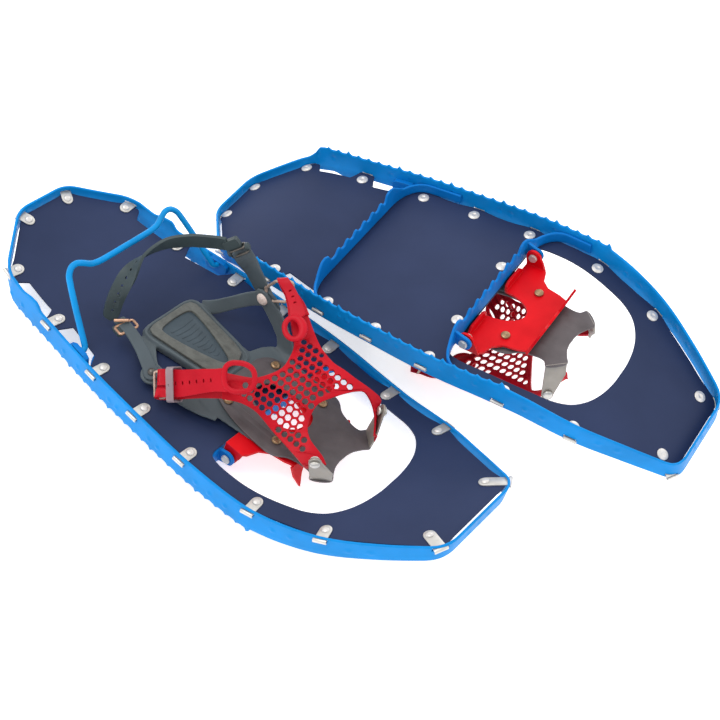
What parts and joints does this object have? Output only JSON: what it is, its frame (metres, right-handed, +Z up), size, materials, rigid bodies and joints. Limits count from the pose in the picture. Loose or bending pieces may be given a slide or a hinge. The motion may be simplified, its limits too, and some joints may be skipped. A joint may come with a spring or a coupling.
{
  "type": "snowshoe pair",
  "caption": "Pair of snowshoes: toothed blue rails, navy deck, pivoting red crampon with strap binding and fold-up heel bail; one shoe deck up, the other deck down.",
  "frame": {"origin": "centre of the pair's footprint, on the ground", "axes": "+X along the first shoe from tail to toe, +Y from the first shoe towards the second, +Z up"},
  "size_m": [0.6306, 0.4196, 0.1466],
  "materials": {
    "rail_paint": "satin blue paint over aluminium bar",
    "crossbar_paint": "satin blue paint",
    "bail_paint": "satin blue coating over steel wire",
    "crampon_paint": "satin red paint over steel plate",
    "deck_sheet": "satin navy sheet",
    "steel": "plain zinc",
    "dark_steel": "dark matt coating",
    "grey_urethane": "satin grey urethane",
    "pad_rubber": "matt, ribbed",
    "bronze": "dull bronze",
    "red_urethane": "satin red urethane",
    "clear_plastic": "translucent smoke grey",
    "strap_rubber": "satin dark grey"
  },
  "bodies": {
    "first_frame": {"a_frame_rail": "rail_paint", "a_deck_with_clips": "deck_sheet", "a_rear_crossbar": "crossbar_paint", "a_hinge_crossbar": "crossbar_paint", "a_bail_bracket_left": "crossbar_paint", "a_bail_bracket_right": "crossbar_paint", "a_hinge_pin_left": "steel", "a_hinge_pin_right": "steel"},
    "first_bail": {"a_heel_bail": "bail_paint"},
    "first_binding": {"a_crampon": "crampon_paint", "a_toe_plate": "dark_steel", "a_binding_base": "grey_urethane", "a_heel_pad": "pad_rubber", "a_base_rivet_rear_left": "bronze", "a_base_rivet_rear_right": "bronze", "a_base_rivet_front_left": "bronze", "a_base_rivet_front_right": "bronze", "a_forefoot_cradle": "red_urethane", "a_forefoot_strap_right": "red_urethane", "a_forefoot_strap_left": "red_urethane", "a_ankle_rivet_left": "steel", "a_ankle_rivet_right": "steel", "a_strap_loop_right": "steel", "a_strap_loop_left": "steel"},
    "first_heel_strap": {"a_heel_strap": "strap_rubber", "a_heel_link_left": "grey_urethane", "a_heel_buckle_left": "steel"},
    "first_right_link": {"a_heel_link_right": "grey_urethane", "a_heel_buckle_right": "bronze"},
    "first_keeper": {"a_strap_keeper": "clear_plastic"},
    "second_frame": {"b_frame_rail": "rail_paint", "b_deck_with_clips": "deck_sheet", "b_rear_crossbar": "crossbar_paint", "b_hinge_crossbar": "crossbar_paint", "b_bail_bracket_left": "crossbar_paint", "b_bail_bracket_right": "crossbar_paint", "b_hinge_pin_left": "steel", "b_hinge_pin_right": "steel"},
    "second_bail": {"b_heel_bail": "bail_paint"},
    "second_binding": {"b_crampon": "crampon_paint", "b_toe_plate": "dark_steel", "b_binding_base": "grey_urethane", "b_heel_pad": "pad_rubber", "b_base_rivet_rear_left": "bronze", "b_base_rivet_rear_right": "bronze", "b_base_rivet_front_left": "bronze", "b_base_rivet_front_right": "bronze", "b_forefoot_cradle": "red_urethane", "b_forefoot_strap_right": "red_urethane", "b_forefoot_strap_left": "red_urethane", "b_ankle_rivet_left": "steel", "b_ankle_rivet_right": "steel", "b_strap_loop_right": "steel", "b_strap_loop_left": "steel"},
    "second_heel_strap": {"b_heel_strap": "strap_rubber", "b_heel_link_left": "grey_urethane", "b_heel_buckle_left": "steel"},
    "second_right_link": {"b_heel_link_right": "grey_urethane", "b_heel_buckle_right": "bronze"},
    "second_keeper": {"b_strap_keeper": "clear_plastic"}
  },
  "joints": [
    {"name": "a_bail_fold", "type": "hinge", "parent": "first_frame", "child": "first_bail", "pos_m": [-0.15645, -0.10222, 0.02747], "axis": [0, 1, 0], "range_deg": [-44, 14]},
    {"name": "a_binding_pivot", "type": "hinge", "parent": "first_frame", "child": "first_binding", "pos_m": [0.00855, -0.10222, 0.01607], "axis": [0, 1, 0], "range_deg": [0, 90]},
    {"name": "a_heel_strap_swing", "type": "hinge", "parent": "first_binding", "child": "first_heel_strap", "pos_m": [-0.07245, -0.04662, 0.07107], "axis": [0.0496, 0.9917, 0.119], "range_deg": [0, 30]},
    {"name": "a_right_link_swing", "type": "hinge", "parent": "first_binding", "child": "first_right_link", "pos_m": [-0.09295, -0.16482, 0.03467], "axis": [0.0601, -0.3006, 0.9519], "range_deg": [-20, 25]},
    {"name": "a_keeper_slide", "type": "slide", "parent": "first_binding", "child": "first_keeper", "axis": [0.7958, 0.4008, 0.4539], "range_m": [-0.003, 0.007]},
    {"name": "b_bail_fold", "type": "hinge", "parent": "second_frame", "child": "second_bail", "pos_m": [-0.06959, 0.08822, 0.06313], "axis": [0.1152, -0.9835, -0.1397], "range_deg": [-6, 52]},
    {"name": "b_binding_pivot", "type": "hinge", "parent": "second_frame", "child": "second_binding", "pos_m": [0.08888, 0.10028, 0.1089], "axis": [0.1152, -0.9835, -0.1397], "range_deg": [0, 90]},
    {"name": "b_heel_strap_swing", "type": "hinge", "parent": "second_binding", "child": "second_heel_strap", "pos_m": [0.02714, 0.0476, 0.03086], "axis": [0.1858, -0.952, -0.2432], "range_deg": [0, 30]},
    {"name": "b_right_link_swing", "type": "hinge", "parent": "second_binding", "child": "second_right_link", "pos_m": [-0.01355, 0.15628, 0.07828], "axis": [0.2098, 0.4533, -0.8663], "range_deg": [-20, 25]},
    {"name": "b_keeper_slide", "type": "slide", "parent": "second_binding", "child": "second_keeper", "axis": [0.9099, -0.2544, -0.3276], "range_m": [-0.003, 0.007]},
    {"name": "second_shoe_lift", "type": "slide", "parent": "first_frame", "child": "second_frame", "axis": [0, 0, 1], "range_m": [0, 0.12]}
  ]
}
